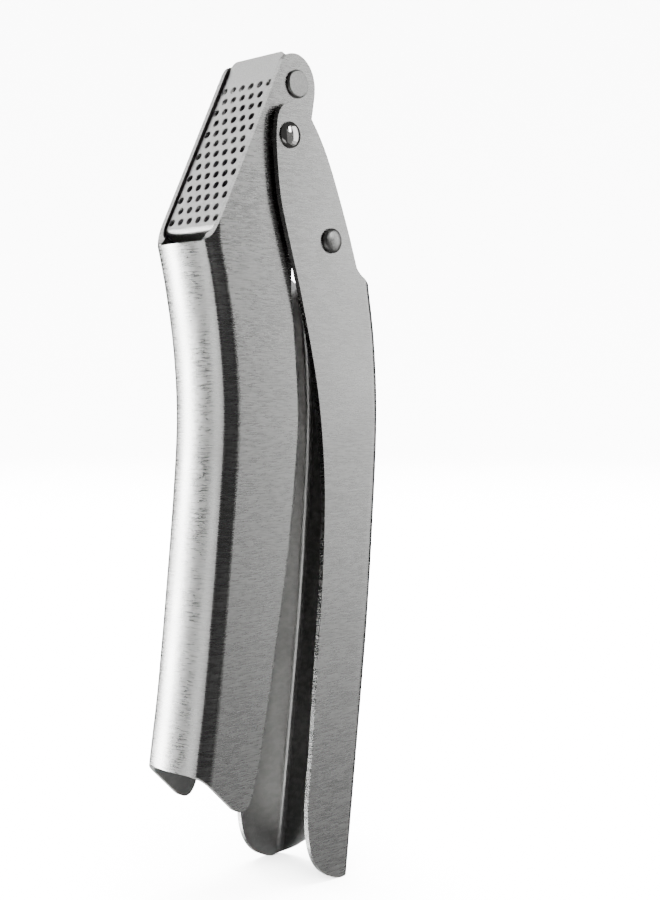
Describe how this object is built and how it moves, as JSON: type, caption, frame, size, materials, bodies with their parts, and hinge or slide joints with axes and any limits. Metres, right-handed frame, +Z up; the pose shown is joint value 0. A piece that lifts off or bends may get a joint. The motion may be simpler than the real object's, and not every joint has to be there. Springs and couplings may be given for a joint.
{
  "type": "garlic press",
  "caption": "Garlic press of two nested folded-sheet handles, with a perforated sieve that flips out and a hinged plunger that squeezes a clove through it.",
  "frame": {"origin": "middle of the bottom of the bounding box, under the tips of the lever handle; the press stands upright with its head up", "axes": "+Z up along the handles towards the head, +X from the body handle towards the lever handle, +Y across the press along its pivots, away from the near side"},
  "size_m": [0.054, 0.0266, 0.1834],
  "materials": {
    "satin_steel": "satin stainless sheet with a fine grain along its folds",
    "sieve_steel": "light matte stainless sheet",
    "pin_steel": "satin turned steel",
    "polished_steel": "polished domed rivet head"
  },
  "bodies": {
    "body": {"body_handle": "satin_steel", "main_pivot_rivet_near": "polished_steel", "main_pivot_rivet_far": "polished_steel", "main_pivot_washer_near": "pin_steel", "main_pivot_washer_far": "pin_steel", "sieve_rivet_near": "pin_steel", "sieve_rivet_far": "pin_steel"},
    "lever": {"lever_handle": "satin_steel", "plunger_pin": "pin_steel", "plunger_spacer_near": "pin_steel", "plunger_spacer_far": "pin_steel"},
    "plunger": {"press_plate": "sieve_steel", "plunger_bracket": "satin_steel", "press_plate_rivet_upper": "pin_steel", "press_plate_rivet_lower": "pin_steel", "plunger_sleeve": "pin_steel"},
    "sieve": {"sieve": "sieve_steel"}
  },
  "joints": [
    {"name": "lever_pivot", "type": "hinge", "parent": "body", "child": "lever", "pos_m": [-0.00292, 0, 0.1646], "axis": [0, -1, 0], "range_deg": [-11, 75]},
    {"name": "plunger_swing", "type": "hinge", "parent": "lever", "child": "plunger", "pos_m": [0.00958, 0, 0.1429], "axis": [0, -1, 0], "range_deg": [-112.5, 16.5]},
    {"name": "sieve_flip", "type": "hinge", "parent": "body", "child": "sieve", "pos_m": [0.00098, 0, 0.1763], "axis": [0, 1, 0], "range_deg": [0, 115]}
  ],
  "couplings": [
    {"joint": "plunger_swing", "follows": "lever_pivot", "ratio": -1.5}
  ]
}
